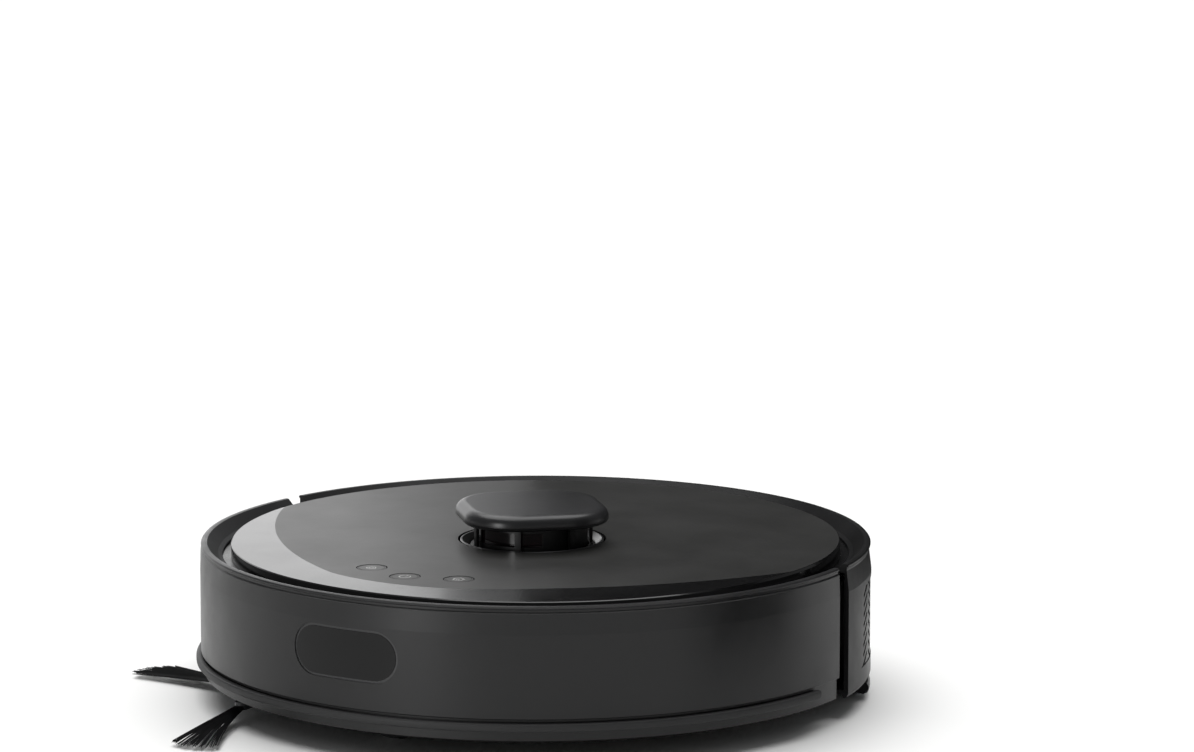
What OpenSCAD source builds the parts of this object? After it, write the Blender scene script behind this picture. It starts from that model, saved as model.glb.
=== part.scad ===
// Robot vacuum with a laser turret, a rear water tank and a mop plate.
// The origin is on the floor under the centre of the round body. The front is -Y and up is +Z.

/* [Body] */
// Diameter of the round body over its wall
body_d = 340; // [330:2:410]
// Height of the rim above the floor
rim_z = 79.5; // [79:0.5:96]
// Thickness of the moulded shells
shell = 2.4; // [2:0.1:3]
// Height of the underside above the floor
under_z = 10; // [9:0.5:11]
// Depth of the moat between the rim and the cover
moat_depth = 7.7; // [7:0.1:9]
// Gap between the cover and the rim
moat_gap = 11.6; // [10:0.2:14]

/* [Bumper] */
// Angle from the front to each end of the bumper
bumper_half = 95.5; // [90:0.5:97]
// Angle from the front to each end of the rear casing
casing_half = 99.3; // [99:0.1:104]
// How far the bumper moves back
bumper_travel = 3; // [2:0.5:3.5]
// Width of the sensor window
window_w = 61; // [50:1:80]
// Height of the sensor window
window_h = 26; // [20:1:30]

/* [Turret] */
// Outer radius of the posts that carry the turret cap
cage_r = 31; // [28:0.5:33]
// Half width of the turret cap across its flats
cap_half = 37; // [34:0.5:40]
// Thickness of the turret cap
cap_t = 8; // [6:0.5:10]
// Height of the open band that the laser looks through
laser_gap = 10.5; // [9:0.5:14]

/* [Buttons] */
// Diameter of each button cap
button_d = 14.5; // [10:0.5:16]
// Travel of each button
button_travel = 0.5; // [0.3:0.1:0.6]

/* [Drive wheels] */
// Radius of the drive wheel over its tyre
wheel_r = 33; // [30:0.5:34]
// Width of the tyre
tyre_w = 20; // [16:1:21]
// Distance from the centre line to the middle of each tyre
track_half = 114; // [113:0.5:115]
// Radius of each arm's pivot pin
pivot_r = 3; // [2.5:0.5:4]

/* [Caster] */
// Radius of the caster wheel
caster_r = 13; // [11:0.5:13.5]
// Trail of the caster wheel behind its swivel
caster_trail = 6; // [4:0.5:7]
// Radius of the caster's swivel stem
stem_r = 4; // [3:0.5:5]

/* [Brushes] */
// Radius of the main brush over its blades
brush_r = 18.5; // [17:0.5:19]
// Length of the main brush
brush_len = 138; // [120:2:140]
// Length of each side brush arm from the hub to its tips
side_reach = 102; // [80:1:104]
// Distance from the body's wall in to the side brush's axis
side_inset = 31; // [30:1:36]

/* [Tank and mop] */
// Width of the water tank
tank_w = 152; // [126:1:154]
// Height of the water tank
tank_h = 34; // [28:1:34]
// Distance from the centre to the front edge of the mop plate
mop_front = 72; // [66:1:90]

/* [Fits] */
// Radial clearance of a shaft that turns in its bore
running = 0.05; // [0.03:0.01:0.1]
// Gap around pieces that slide past each other
slide_gap = 0.6; // [0.4:0.1:0.8]

/* [Hidden] */
$fn = 96;
front = -90;
body_r = body_d / 2;
chassis_r = body_r - shell - bumper_travel - 3.1;
cover_r = body_r - 4.2 - moat_gap;
cover_z = rim_z + 0.2;
deck_top = rim_z - moat_depth;
deck_t = 2.4;
deck_low = deck_top - deck_t;
floor_top = under_z + 2.6;
lip_r = body_r - 11.4;          // inner edge of the rim's sloping flange
flange_t = 1.6;

strip_z0 = rim_z - 61.3;
strip_z1 = rim_z - 57.1;
strip_half = 88.5;
window_z = rim_z - 28.7;

lidar_y = -3.6;
ring_r = 36.3;
well_r = 38;
well_z = deck_low - 11.4;
cap_low = rim_z + laser_gap;
rotor_r = cage_r - 2.6;
pulley_z = well_z + 3;
rotor_pulley_r = 24;
motor_pulley_r = 4;
belt_t = 1;
belt_h = 2.4;
motor_x = -46;
// Each post of the cage, from and to, in degrees from the front
cage_posts = [[-98, -92], [-38, -32], [17, 23], [72, 78], [127, 133], [180, 232]];

button_ring = 111;
button_mid = 116.8;
button_spread = 13.5;
button_places = [for (a = [-button_spread, 0, button_spread])
    let (r = a == 0 ? button_mid : button_ring) [r * sin(a), -r * cos(a)]];
stem_d = 5;

board_z = deck_low - 9.4;
board_t = 1.6;
switch_h = 4;

well_x0 = 88.4;                 // wheel well, inner face
well_x1 = 131;
well_y0 = -62;
well_y1 = 38;
pivot_y = -48;
pivot_z = 36;
arm_x0 = 90.5;
arm_t = 12;
axle_r = 4;
hub_r = 24;
tyre_x0 = track_half - tyre_w / 2;

caster_y = -(body_r - 40);
pocket_r = caster_trail + caster_r + 3;
fork_z = 33;
caster_axle_r = 1.5;

brush_y = 14;
brush_z = 20;
bay_x0 = -86;
bay_x1 = 66;
bay_half = 23;
bay_top = 44;
brush_x0 = -77;
core_r = 11;
spindle_r = 4;

guard_x0 = bay_x0 + 0.6;
guard_x1 = bay_x1 - 0.6;
guard_z = under_z - 2.4;
latch_places = [-60, 40];
guard_ribs = [-52, -24, 4, 32];

side_angle = 228;
side_r = body_r - side_inset;
side_x = side_r * cos(side_angle);
side_y = side_r * sin(side_angle);
side_arms = [160, 280, 40];
side_hub_r = 12;
side_sweep = 6;

tank_z = under_z + 1.5;
tank_top = tank_z + tank_h;
tank_y = 98;
bin_y = 54;
bin_wall = 2;
shelf_z = tank_top + slide_gap + shell;
inlet_w = 60;
inlet_z0 = 25;
inlet_z1 = 42;
outlet_w = 42;
outlet_z0 = shelf_z + 4;
outlet_z1 = deck_low - 3;
outlet_y = body_r - 6;
plug_r = 8;
plug_x = 50;
plug_y = 116;
mop_top = tank_z - 2.2;

fan_x = tank_w / 2 + slide_gap + shell;
fan_y = 76;
fan_z = 37;
fan_r = 24;
fan_t = 27;
fan_eye = 10;

battery = [[24, -112, floor_top], [96, -66, floor_top + 44]];
contact_x = 48;
contact_z = rim_z - 21.5;
vent_from = 107;
vent_to = 129;
vent_z0 = rim_z - 57.5;
vent_z1 = rim_z - 17;

// Turns a profile from one angle to another, counted from the front
module around(from, to)
    rotate([0, 0, front + from]) rotate_extrude(angle = to - from) children();

// A bar with a round end at each end, along X, centred, in the XY plane
module pill(w, h) {
    square([w - h, h], center = true);
    for (x = [-1, 1]) translate([x * (w - h) / 2, 0]) circle(d = h);
}

// A link's outline: a round at each end and the straight sides that touch both
function link_line(p, pr, q, qr, n = 24) =
    let (d = q - p, turn = atan2(d.y, d.x), lean = acos((pr - qr) / norm(d)))
    concat([for (i = [0:n]) let (a = turn + lean + (360 - 2 * lean) * i / n)
            p + pr * [cos(a), sin(a)]],
        [for (i = [0:n]) let (a = turn - lean + 2 * lean * i / n)
            q + qr * [cos(a), sin(a)]]);
module link(p, pr, q, qr) polygon(link_line(p, pr, q, qr));

// A straight round bar along X
module bar_x(r, x0, x1) translate([x0, 0, 0]) rotate([0, 90, 0]) cylinder(r = r, h = x1 - x0);

// A box given by two corners
module block(a, b) translate(a) cube(b - a);

// Extrudes a YZ outline along X
module along_x(x0, x1)
    translate([x0, 0, 0]) rotate([90, 0, 90]) linear_extrude(x1 - x0) children();

// Extrudes an XZ outline backwards from the front of the body
module from_front(depth)
    translate([0, -body_r - 5, 0]) rotate([-90, 0, 0]) mirror([0, 1, 0]) linear_extrude(depth)
        children();

// A helical spring along +Z, as one swept tube
module coil(r, wire, turns, h) {
    sides = 6;
    steps = 12 * turns;
    ring = [for (i = [0:steps]) for (j = [0:sides - 1])
        let (a = 360 * i / 12, b = 360 * j / sides, q = r + wire * cos(b))
        [q * cos(a), q * sin(a), wire + (h - 2 * wire) * i / steps + wire * sin(b)]];
    skin = [for (i = [0:steps - 1]) for (j = [0:sides - 1])
        let (k = (j + 1) % sides)
        [i * sides + j, (i + 1) * sides + j, (i + 1) * sides + k, i * sides + k]];
    start = [for (j = [0:sides - 1]) j];
    finish = [for (j = [sides - 1:-1:0]) steps * sides + j];
    polyhedron(ring, concat(skin, [start, finish]), convexity = 4);
}

// The rim's bead and sloping flange with the wall under it, shared by bumper and casing
module wall_profile(low, shoulder)
    polygon([
        [lip_r, deck_top], [lip_r, deck_top + 1.4], [lip_r + 2.2, deck_top + 2.4],
        [body_r - 4.2, rim_z - 0.7], [body_r - 3.6, rim_z - 0.15], [body_r - 2.3, rim_z],
        [body_r - 1.0, rim_z - 0.25], [body_r - 0.45, rim_z - 0.9], [body_r - 0.5, rim_z - 1.3],
        [body_r - 1.2, rim_z - 1.8], [body_r - 1.2, rim_z - 2.9],
        [body_r - 0.35 - shoulder, rim_z - 3.6], [body_r, rim_z - 14], [body_r, low],
        [body_r - shell, low], [body_r - shell, deck_top + 2.6], [body_r - 4.8, deck_top + 3.4],
        [lip_r + flange_t + 1, deck_top]]);

module front_bumper() color("#2b2b2c")
    difference() {
        around(-bumper_half, bumper_half)
            difference() {
                union() {
                    wall_profile(strip_z1 + 2, 0);
                    polygon([[body_r, strip_z1 + 2.1], [body_r - 0.3, strip_z1 + 1.5],
                        [body_r - 1.6, strip_z1 + 1.2], [body_r - 1.6, under_z + 3.4],
                        [body_r - 4.4, under_z + 3.0], [body_r - 4.4, under_z + 4.6],
                        [body_r - 3.6, strip_z1 - 1], [body_r - shell, strip_z1 + 2.1]]);
                }
                translate([lip_r - 1, deck_top - 1]) square([5, 1.4]);
            }
        from_front(30) translate([0, window_z]) pill(window_w, window_h);
    }

module bumper_strip() color("#38383a")
    around(-strip_half, strip_half)
        polygon([[body_r - 1.5, strip_z1], [body_r + 1.5, strip_z1],
            [body_r + 2.1, strip_z1 - 0.3], [body_r + 2.4, strip_z1 - 0.9],
            [body_r + 2.4, strip_z0 + 1.1], [body_r + 2, strip_z0 + 0.4],
            [body_r + 1.2, strip_z0], [body_r - 1.5, strip_z0 - 0.6]]);

module window_bezel() color("#0c0c0d")
    intersection() {
        around(-20, 20) translate([body_r - shell, window_z - window_h / 2 - 1])
            square([shell - 0.5, window_h + 2]);
        from_front(30) translate([0, window_z]) difference() {
            pill(window_w, window_h);
            pill(window_w - 2.4, window_h - 2.4);
        }
    }

module sensor_window() color("#151516")
    intersection() {
        around(-20, 20) translate([body_r - shell, window_z - window_h / 2])
            square([shell - 0.2, window_h]);
        from_front(30) translate([0, window_z]) pill(window_w - 2.4, window_h - 2.4);
    }

module obstacle_sensor() color("#1d4a2c") {
    y0 = -chassis_r + shell + 3;
    block([-24, y0, window_z - 8], [24, y0 + 1.6, window_z + 8]);
    for (x = [-15, 0, 15]) translate([x, y0, window_z]) rotate([90, 0, 0]) cylinder(r = 4, h = 5);
    for (x = [-20, 20]) block([x - 3, y0 + 1.6, floor_top], [x + 3, y0 + 4.6, window_z + 6]);
}

module bumper_springs() color("#b8b8ba")
    for (a = [-40, 40]) rotate([0, 0, a]) translate([0, -chassis_r, strip_z1 + 7.6])
        rotate([90, 0, 0]) coil(2.6, 0.35, 3, body_r - shell - chassis_r - 0.1);

module micro_switches() color("#1a1a1a") {
    for (p = button_places) translate([p.x, p.y, board_z + board_t]) {
        translate([-3, -3, 0]) cube([6, 6, switch_h - 1]);
        cylinder(r = 1.6, h = switch_h);
    }
    for (a = [-60, 60]) rotate([0, 0, a]) translate([0, -chassis_r + shell + 0.3, 0])
        block([-6, 0, floor_top], [6, 6, floor_top + 14]);
}

// The outline of the tank's doorway in the rear wall, seen along Y
module tank_door(grow)
    translate([-tank_w / 2 - grow, -1]) square([tank_w + 2 * grow, tank_top + grow + 1]);

module rear_casing() color("#2a2a2b")
    difference() {
        around(casing_half, 360 - casing_half) {
            wall_profile(under_z + 3.4, 0.9);
            polygon([[chassis_r + 0.1, floor_top + 0.6], [chassis_r + 0.1, floor_top + 2.6],
                [body_r - shell, floor_top + 2.6], [body_r, floor_top + 2.6],
                [body_r, under_z + 3.6], [body_r - 0.9, under_z + 1.9],
                [body_r - 2.4, under_z + 1.2], [body_r - 3.4, floor_top + 0.6]]);
        }
        translate([0, body_r + 10, 0]) rotate([90, 0, 0]) linear_extrude(60) tank_door(slide_gap);
        block([-outlet_w / 2 - 0.5, body_r - 30, outlet_z0 - 0.5],
            [outlet_w / 2 + 0.5, body_r + 10, outlet_z1 + 0.5]);
        for (s = [1, -1]) {
            rotate([0, 0, s * (vent_from + vent_to) / 2 - 90]) {
                half = body_r * sin((vent_to - vent_from) / 2);
                block([body_r - 12, -half - 0.05, vent_z0 - 0.05],
                    [body_r + 5, half + 0.05, vent_z1 + 0.05]);
            }
            contact_place(s) block([-5.2, -1.8, -9.2], [5.2, 3, 9.2]);
        }
    }

// Places a charging contact on the rear wall, its outer face on the XZ plane
module contact_place(s) {
    turn = asin(contact_x / body_r);
    rotate([0, 0, -s * turn]) translate([0, body_r - 0.4, contact_z]) children();
}

module charge_contacts() color("#c9a96a")
    for (s = [1, -1]) contact_place(s) block([-5, -1.8, -9], [5, 0, 9]);

module vent_grille(s) {
    mid = (vent_from + vent_to) / 2;
    half = body_r * sin((vent_to - vent_from) / 2);
    rows = 8;
    pitch = (vent_z1 - vent_z0) / rows;
    difference() {
        rotate([0, 0, s * mid - 90]) intersection() {
            rotate([0, 0, 90 - mid]) around(vent_from - 2, vent_to + 2)
                translate([body_r - shell, vent_z0]) square([shell - 0.4, vent_z1 - vent_z0]);
            block([body_r - 14, -half, vent_z0], [body_r, half, vent_z1]);
        }
        for (col = [-1.5:1:1.5], row = [0:rows - 1])
            rotate([0, 0, s * mid - 90 + col * 5]) translate([body_r, 0, vent_z0 + pitch * (row + 0.5)])
                rotate([(col + 1.5) % 2 == 0 ? 28 : -28, 0, 0])
                    cube([16, 11, pitch * 0.42], center = true);
    }
}
module vent_grilles() color("#1f1f20") for (s = [1, -1]) vent_grille(s);

module wheel_well_block() for (s = [0, 1]) mirror([s, 0, 0])
    block([well_x0 - shell, well_y0 - shell, under_z], [well_x1 + shell, well_y1 + shell, deck_low]);
module wheel_well_cut() for (s = [0, 1]) mirror([s, 0, 0]) {
    block([well_x0, well_y0, -1], [well_x1, well_y1, deck_low + 1]);
    translate([0, pivot_y, pivot_z]) bar_x(pivot_r + 0.02, well_x0 - shell - 1, well_x1 + shell + 1);
}

cliff_angles = [-72, -20, 20, 72];
post_places = [[-76, -56], [76, -56], [-56, -126], [56, -126]];
screw_places = [[-60, -72], [-60, -40], [72, -52], [-126, -72], [126, -76], [-140, 10], [140, 10],
    [-96, 60], [114, 58]];

module chassis() color("#1c1c1d")
    difference() {
        union() {
            rotate_extrude() polygon([[0, under_z], [chassis_r - 4, under_z],
                [chassis_r, under_z + 3.6], [chassis_r, deck_low],
                [chassis_r - shell, deck_low], [chassis_r - shell, floor_top], [0, floor_top]]);
            wheel_well_block();
            block([bay_x0 - shell, brush_y - bay_half - shell, under_z],
                [bay_x1 + shell, brush_y + bay_half + shell, bay_top + shell]);
            translate([0, caster_y, under_z]) cylinder(r = pocket_r + shell, h = fork_z - under_z + shell);
            translate([0, caster_y, fork_z]) cylinder(r = stem_r + 4, h = 12);
            intersection() {
                union() {
                    translate([side_x, side_y, under_z]) cylinder(r = 34, h = 6.4);
                    block([-tank_w / 2 - slide_gap - shell, bin_y - slide_gap - shell, under_z],
                        [tank_w / 2 + slide_gap + shell, body_r, shelf_z]);
                }
                translate([0, 0, under_z]) cylinder(r = chassis_r - 4, h = rim_z);
            }
            for (p = post_places) translate([p.x, p.y, under_z])
                cylinder(r = 3.5, h = board_z - under_z);
            for (p = screw_places) translate([p.x, p.y, under_z]) cylinder(r = 4, h = 16);
        }
        wheel_well_cut();
        block([bay_x0, brush_y - bay_half, -1], [bay_x1, brush_y + bay_half, bay_top]);
        block([bay_x1 - 1, brush_y - spindle_r - 1, brush_z - spindle_r - 1],
            [bay_x1 + shell + 1, brush_y + spindle_r + 1, brush_z + spindle_r + 1]);
        block([-inlet_w / 2, brush_y + bay_half - 1, inlet_z0],
            [inlet_w / 2, bin_y + 1, inlet_z1]);
        translate([0, fan_y, fan_z]) bar_x(fan_eye, fan_x - shell - 1, fan_x + 1);
        block([-outlet_w / 2 + 2, bin_y + 8, tank_top], [outlet_w / 2 - 2, tank_y - 8, shelf_z + 1]);
        translate([0, caster_y, -1]) cylinder(r = pocket_r, h = fork_z + 1);
        translate([0, caster_y, 0]) cylinder(r = stem_r + running, h = fork_z + 20);
        translate([side_x, side_y, -1]) cylinder(r = 30, h = under_z + 4.4);
        translate([side_x, side_y, 0]) cylinder(r = spindle_r - 0.6, h = under_z + 20);
        block([-tank_w / 2 - slide_gap, bin_y - slide_gap, -1],
            [tank_w / 2 + slide_gap, body_r + 5, tank_top + slide_gap]);
        block([-outlet_w / 2 - 0.5, body_r - 40, shelf_z],
            [outlet_w / 2 + 0.5, body_r, outlet_z1 + 0.5]);
        block([battery[0].x - 2, battery[0].y - 2, -1],
            [battery[1].x + 2, battery[1].y + 2, floor_top + 1]);
        block([-25, -chassis_r - 2, window_z - 9], [25, -chassis_r + shell + 2.9, window_z + 9]);
        for (a = cliff_angles) cliff_place(a) translate([0, 0, -1]) linear_extrude(5) pill(16, 8);
        for (p = screw_places) translate([p.x, p.y, -1]) {
            cylinder(r = 3.2, h = under_z + 3);
            cylinder(r = 1.5, h = under_z + 14);
        }
        for (x = latch_places) block([x - 8, brush_y + bay_half - 2, -1],
            [x + 8, brush_y + bay_half + 8, under_z + 2.8]);
        for (s = [1, -1]) rotate([0, 0, s * (vent_from + vent_to) / 2 - 90])
            block([chassis_r - 8, -18, vent_z0 + 4], [body_r, 18, vent_z1 - 4]);
    }

// Places a cliff sensor window on the underside, by its angle from the front
module cliff_place(a)
    rotate([0, 0, a]) translate([0, -(chassis_r - 14), under_z]) children();

module cliff_windows() color("#3a1216")
    for (a = cliff_angles) cliff_place(a) translate([0, 0, 0.2]) linear_extrude(2.2) pill(16, 8);

module top_deck() color("#141415")
    difference() {
        union() {
            translate([0, 0, deck_low]) cylinder(r = chassis_r, h = deck_t);
            difference() {
                translate([0, 0, deck_low]) cylinder(r = cover_r - shell - 0.4, h = deck_t + 2.4);
                translate([0, 0, deck_low]) cylinder(r = cover_r - shell - 2.4, h = deck_t + 3);
            }
            translate([0, lidar_y, well_z - shell]) linear_extrude(deck_low - well_z + shell + 1) {
                circle(well_r + shell);
                translate([motor_x, 0]) circle(14 + shell);
            }
            for (p = button_places) translate([p.x, p.y, deck_low])
                cylinder(r = stem_d / 2 + 3, h = deck_t + 1.4);
        }
        translate([0, lidar_y, well_z]) cylinder(r = well_r, h = 40);
        translate([motor_x, lidar_y, well_z]) cylinder(r = 14, h = deck_top);
        translate([motor_x, lidar_y, 0]) cylinder(r = 2, h = deck_top);
        for (p = button_places) translate([p.x, p.y, 0]) cylinder(d = stem_d + 0.7, h = rim_z);
    }

// The cover's matt field: two wide side arcs, a rounder front, and open into the edge behind
module shield() {
    k = cover_r / 154.2;
    intersection() {
        for (s = [-1, 1]) translate([s * 91, 109.7] * k) circle(270 * k, $fn = 240);
        union() {
            translate([0, -30 * k]) circle(105 * k);
            translate([-200, -101.8] * k) square(400 * k);
        }
    }
    translate([-cover_r, cover_r * 0.12]) square([2 * cover_r, cover_r]);
}

module top_cover() color("#3a3a3b")
    difference() {
        union() {
            rotate_extrude($fn = 180) polygon([[0, cover_z - 2.2], [cover_r - 2, cover_z - 2.2],
                [cover_r - 2, deck_top], [cover_r, deck_top], [cover_r, cover_z - 2.1],
                [cover_r - 0.5, cover_z - 1.4], [cover_r - 28, cover_z - 0.2], [0, cover_z - 0.2]]);
            translate([0, 0, cover_z - 1.6]) linear_extrude(1.6) intersection() {
                circle(cover_r - 0.8);
                shield();
            }
        }
        translate([0, lidar_y, deck_top - 1]) cylinder(r = ring_r + 1.2, h = 20);
        for (p = button_places) translate([p.x, p.y, deck_top - 1])
            cylinder(d = button_d + 1, h = 20);
    }

module button(i) translate(button_places[i]) {
    difference() {
        translate([0, 0, cover_z - 2.8]) cylinder(d = button_d, h = 2.7);
        translate([0, 0, cover_z - 0.35]) difference() {
            cylinder(d = button_d - 1.2, h = 1);
            cylinder(d = button_d - 1.8, h = 1);
        }
    }
    low = board_z + board_t + switch_h + button_travel + 0.1;
    translate([0, 0, low]) cylinder(d = stem_d, h = cover_z - 2.7 - low);
}
module button_spot() color("#333334") button(0);
module button_power() color("#333334") button(1);
module button_dock() color("#333334") button(2);

module at_lidar() translate([0, lidar_y, 0]) children();

module lidar_ring() color("#4a4a4b") at_lidar()
    rotate_extrude() polygon([[cage_r + 0.8, deck_top + 0.9], [ring_r, deck_top + 0.9],
        [ring_r, cover_z - 0.3], [ring_r - 0.4, cover_z], [ring_r - 1, cover_z],
        [cage_r + 1.1, cover_z - 2.2], [cage_r + 0.8, cover_z - 2.8]]);

module lidar_cage() color("#1b1b1c") at_lidar() {
    rotate_extrude() polygon([[rotor_r + 0.6, deck_top - 4], [well_r - 0.2, deck_top - 4],
        [well_r - 0.2, deck_top + 0.6], [cage_r + 0.5, deck_top + 0.6],
        [cage_r + 0.5, cover_z - 3], [cage_r, cover_z - 2.6], [rotor_r + 0.6, cover_z - 2.6]]);
    rotate_extrude() polygon([[rotor_r - 6, well_z], [well_r - 0.2, well_z],
        [well_r - 0.2, well_z + 1.4], [rotor_r - 6, well_z + 1.4]]);
    for (a = cage_posts) around(a[0], a[1]) translate([rotor_r + 0.8, cover_z - 3.4])
        square([cage_r - rotor_r - 1, cap_low - cover_z + 3.4]);
    for (a = [0, 120, 240]) rotate([0, 0, a]) translate([well_r - 3, 0, well_z + 1.4])
        cylinder(r = 2.6, h = deck_top - 4 - well_z - 1.4);
}

module lidar_cap() color("#303031") at_lidar() {
    corner_r = 27;
    place = cap_half - corner_r;
    rotate([0, 0, 45]) hull() for (x = [-place, place], y = [-place, place])
        translate([x, y, cap_low]) rotate_extrude($fn = 40) polygon([[0, 0], [corner_r - 2.6, 0],
            [corner_r - 1.1, 0.5], [corner_r - 0.2, 1.6], [corner_r, 3], [corner_r - 0.5, 4.6],
            [corner_r - 1.7, 6.2], [corner_r - 3.4, 7.3], [corner_r - 6, cap_t], [0, cap_t]]);
}

module lidar_rotor() color("#0f0f10") at_lidar()
    difference() {
        union() {
            translate([0, 0, cover_z - 2.4]) cylinder(r = rotor_r - 0.2, h = cap_low - cover_z + 1.4);
            translate([0, 0, pulley_z - 1]) rotate_extrude() polygon([[0, 0],
                [rotor_pulley_r + 1, 0], [rotor_pulley_r + 1, 1], [rotor_pulley_r, 1],
                [rotor_pulley_r, 1 + belt_h + 0.4], [rotor_pulley_r + 1, 1 + belt_h + 0.4],
                [rotor_pulley_r + 1, 2.6 + belt_h], [rotor_pulley_r - 6, 2.6 + belt_h],
                [rotor_pulley_r - 6, cover_z - pulley_z], [0, cover_z - pulley_z]]);
        }
        block([-22, -40, cover_z + 0.6], [22, -20, cap_low - 2.6]);
    }

module lidar_lens() color("#2a0d12") at_lidar()
    intersection() {
        block([-21.8, -28, cover_z + 0.7], [21.8, -20, cap_low - 2.7]);
        cylinder(r = rotor_r - 0.4, h = 200);
    }

module lidar_motor() color("#8d8f92") translate([motor_x, lidar_y, 0]) {
    translate([0, 0, well_z - shell - 9]) cylinder(r = 9, h = 9);
    translate([0, 0, well_z - shell]) cylinder(r = 1, h = pulley_z + belt_h - well_z + shell + 2);
}

module lidar_pulley() color("#e6e3da") translate([motor_x, lidar_y, pulley_z])
    rotate_extrude() polygon([[1 + running, -1], [motor_pulley_r + 1, -1], [motor_pulley_r + 1, 0],
        [motor_pulley_r, 0], [motor_pulley_r, belt_h + 0.4], [motor_pulley_r + 1, belt_h + 0.4],
        [motor_pulley_r + 1, belt_h + 1.4], [1 + running, belt_h + 1.4]]);

module lidar_belt() color("#101010") translate([0, lidar_y, pulley_z + 0.2])
    linear_extrude(belt_h) difference() {
        polygon(link_line([0, 0], rotor_pulley_r + belt_t + 0.3,
            [motor_x, 0], motor_pulley_r + belt_t + 0.3, 60));
        polygon(link_line([0, 0], rotor_pulley_r + 0.3, [motor_x, 0], motor_pulley_r + 0.3, 60));
    }

module main_board() color("#1f5a35") {
    difference() {
        translate([0, 0, board_z]) linear_extrude(board_t)
            polygon([[-84, -52], [84, -52], [84, -84], [60, -132], [-60, -132], [-84, -84]]);
        for (p = post_places) translate([p.x, p.y, board_z - 1]) cylinder(r = 1.6, h = 5);
    }
    for (c = [[-40, -80, 12], [10, -74, 14], [42, -88, 9], [-14, -98, 8]])
        translate([c.x, c.y, board_z + board_t]) cube([c.z, c.z, 1.4]);
    for (x = [-66, -30, 30, 62]) translate([x, -60, board_z + board_t]) cube([12, 6, 3.4]);
}

module battery_pack() color("#2f3a8a") {
    cell_r = 11;
    deep = battery[1].y - battery[0].y;
    tall = battery[1].z - battery[0].z;
    translate([0, battery[0].y, battery[0].z]) along_x(battery[0].x + 2, battery[1].x - 2) {
        for (y = [cell_r, deep - cell_r], z = [cell_r, tall - cell_r]) translate([y, z])
            circle(cell_r - 0.4);
        translate([cell_r, 0.4]) square([deep - 2 * cell_r, tall - 0.8]);
        translate([0.4, cell_r]) square([deep - 0.8, tall - 2 * cell_r]);
    }
    for (x = [battery[0].x, battery[1].x - 3])
        block([x, battery[0].y, battery[0].z], [x + 3, battery[1].y, battery[1].z]);
}

module battery_door() color("#1c1c1d")
    difference() {
        block([battery[0].x - 1.8, battery[0].y - 1.8, under_z],
            [battery[1].x + 1.8, battery[1].y + 1.8, floor_top]);
        for (i = [-2:2]) block([(battery[0].x + battery[1].x) / 2 - 10, battery[1].y - 10 + i * 3, 0],
            [(battery[0].x + battery[1].x) / 2 + 10, battery[1].y - 8.8 + i * 3, under_z + 0.8]);
    }

module caster_fork() color("#2c2c2d") translate([0, caster_y, 0])
    difference() {
        union() {
            translate([0, 0, fork_z - 1.4]) cylinder(r = stem_r, h = 14);
            translate([0, 0, caster_r + 5]) cylinder(r = pocket_r - 1, h = fork_z - caster_r - 6.2);
            for (x = [-1, 1]) translate([x * 9, 0, 0]) along_x(-1.4, 1.4)
                link([caster_trail, caster_r], 5, [0, fork_z - 8], 7);
        }
        translate([0, caster_trail, caster_r]) {
            bar_x(caster_r + 1, -7.4, 7.4);
            bar_x(caster_axle_r + 0.02, -20, 20);
        }
        translate([0, caster_trail, caster_r]) block([-7.4, -caster_r - 1, -20], [7.4, caster_r + 1, 0]);
    }

module caster_axle() color("#c4c6c9") translate([0, caster_y + caster_trail, caster_r])
    bar_x(caster_axle_r, -10.4, 10.4);

module caster_wheel() color("#3b3b3c") translate([0, caster_y + caster_trail, caster_r])
    rotate([0, 90, 0]) rotate_extrude() polygon([[caster_axle_r + running, -6.8], [7, -6.8], [8, -6.2],
        [caster_r - 1.6, -6.2], [caster_r - 0.4, -5.2], [caster_r, -3.4], [caster_r, 3.4],
        [caster_r - 0.4, 5.2], [caster_r - 1.6, 6.2], [8, 6.2], [7, 6.8],
        [caster_axle_r + running, 6.8]]);

module drive_arm() {
    difference() {
        union() {
            along_x(arm_x0, arm_x0 + arm_t) link([pivot_y, pivot_z], 9, [0, wheel_r], 15);
            translate([0, pivot_y, pivot_z]) bar_x(6, arm_x0 - 1.2, arm_x0 + arm_t + 6);
            translate([0, -24, wheel_r + 2]) bar_x(7, arm_x0 + arm_t - 1, arm_x0 + arm_t + 0.4);
        }
        translate([0, pivot_y, pivot_z]) bar_x(pivot_r + running, arm_x0 - 5, well_x1);
    }
    translate([0, 0, wheel_r]) bar_x(axle_r, arm_x0 + arm_t - 0.5, tyre_x0 + tyre_w - 2);
}
module drive_hub() translate([0, 0, wheel_r]) rotate([0, 90, 0]) rotate_extrude()
    translate([0, tyre_x0]) polygon([[axle_r + running, 0.6], [8, 0.6], [8, 3], [hub_r - 3, 3],
        [hub_r - 3, 0], [hub_r, 0], [hub_r, tyre_w], [hub_r - 3, tyre_w], [hub_r - 5, tyre_w - 3],
        [10, tyre_w - 3], [8.6, tyre_w - 1], [0, tyre_w - 1], [0, tyre_w - 1.8],
        [axle_r + running, tyre_w - 1.8]]);
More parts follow.
